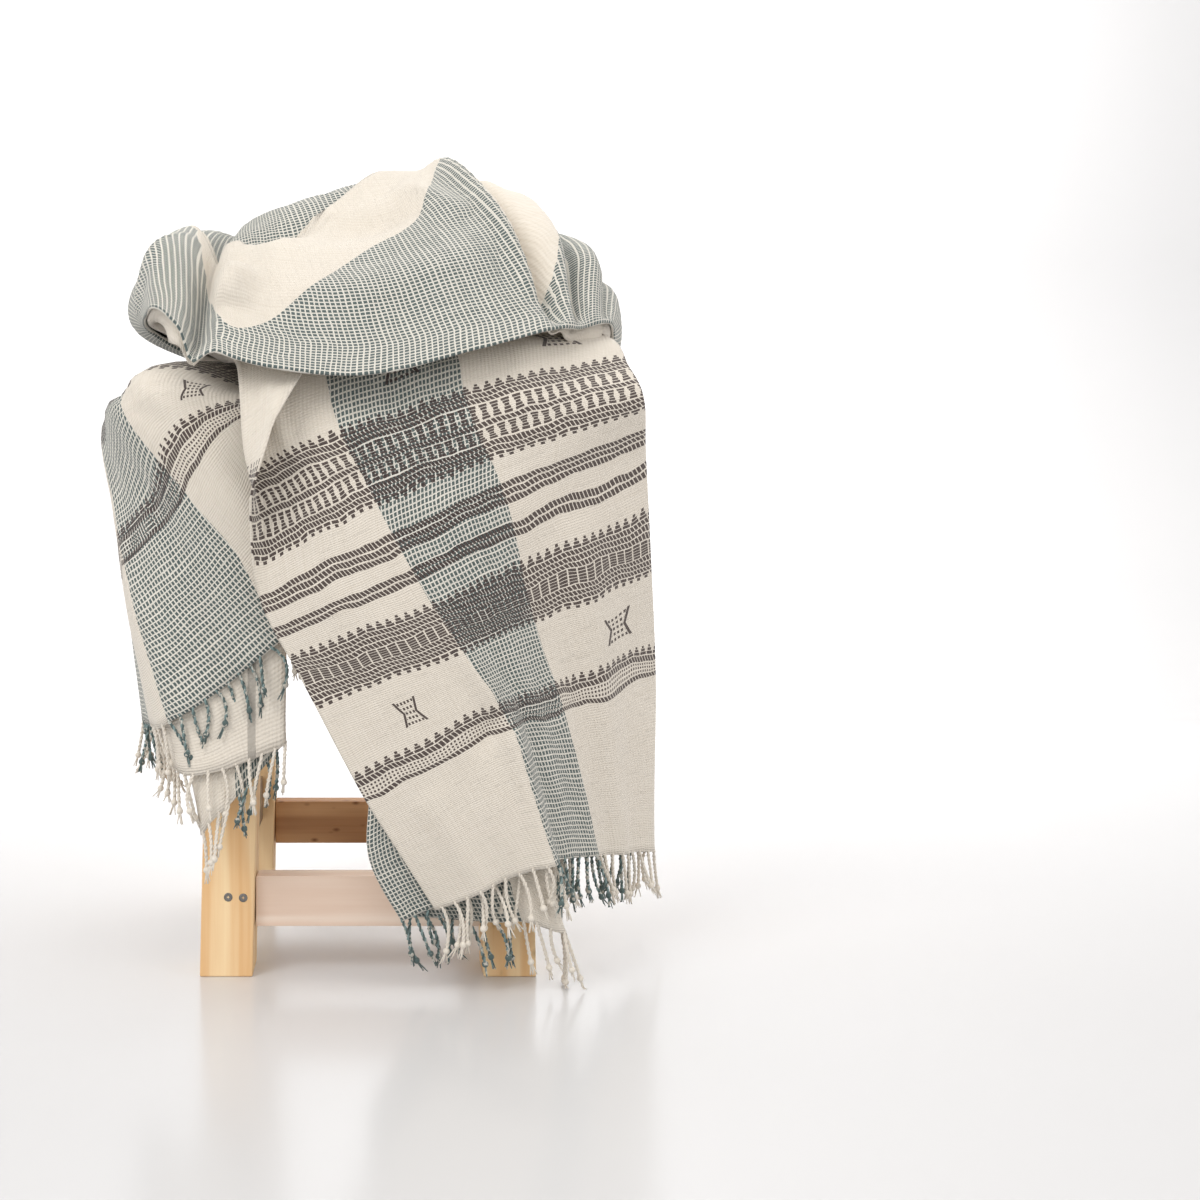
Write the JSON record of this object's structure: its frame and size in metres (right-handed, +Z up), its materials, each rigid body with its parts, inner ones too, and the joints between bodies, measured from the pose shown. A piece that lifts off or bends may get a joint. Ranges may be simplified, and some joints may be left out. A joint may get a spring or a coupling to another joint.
{
  "type": "wool throw blanket draped over a wooden stool",
  "caption": "Handwoven fringed wool throw, folded lengthwise and bundled over a plain wooden stool, with one end falling over the front and the other over the left corner.",
  "frame": {"origin": "on the floor under the middle of the whole part's box", "axes": "+Z up, -Y towards the stool's front, +X to the right seen from the front"},
  "size_m": [0.4906, 0.3642, 0.7085],
  "materials": {
    "throw_wool": "matte handwoven wool",
    "fringe_yarn": "matte twisted yarn",
    "pine": "raw sanded pine",
    "pine_pale": "raw sanded pine",
    "pine_brown": "raw sanded pine with knots",
    "pine_grey": "raw weathered pine"
  },
  "bodies": {
    "root": {"throw": "throw_wool", "fringe_front": "fringe_yarn", "fringe_left": "fringe_yarn", "seat": "pine", "leg_front_left": "pine", "leg_front_right": "pine", "leg_rear_left": "pine", "leg_rear_right": "pine", "rail_front": "pine_pale", "rail_rear": "pine_brown", "rail_left": "pine_grey", "rail_right": "pine_grey"}
  },
  "joints": []
}
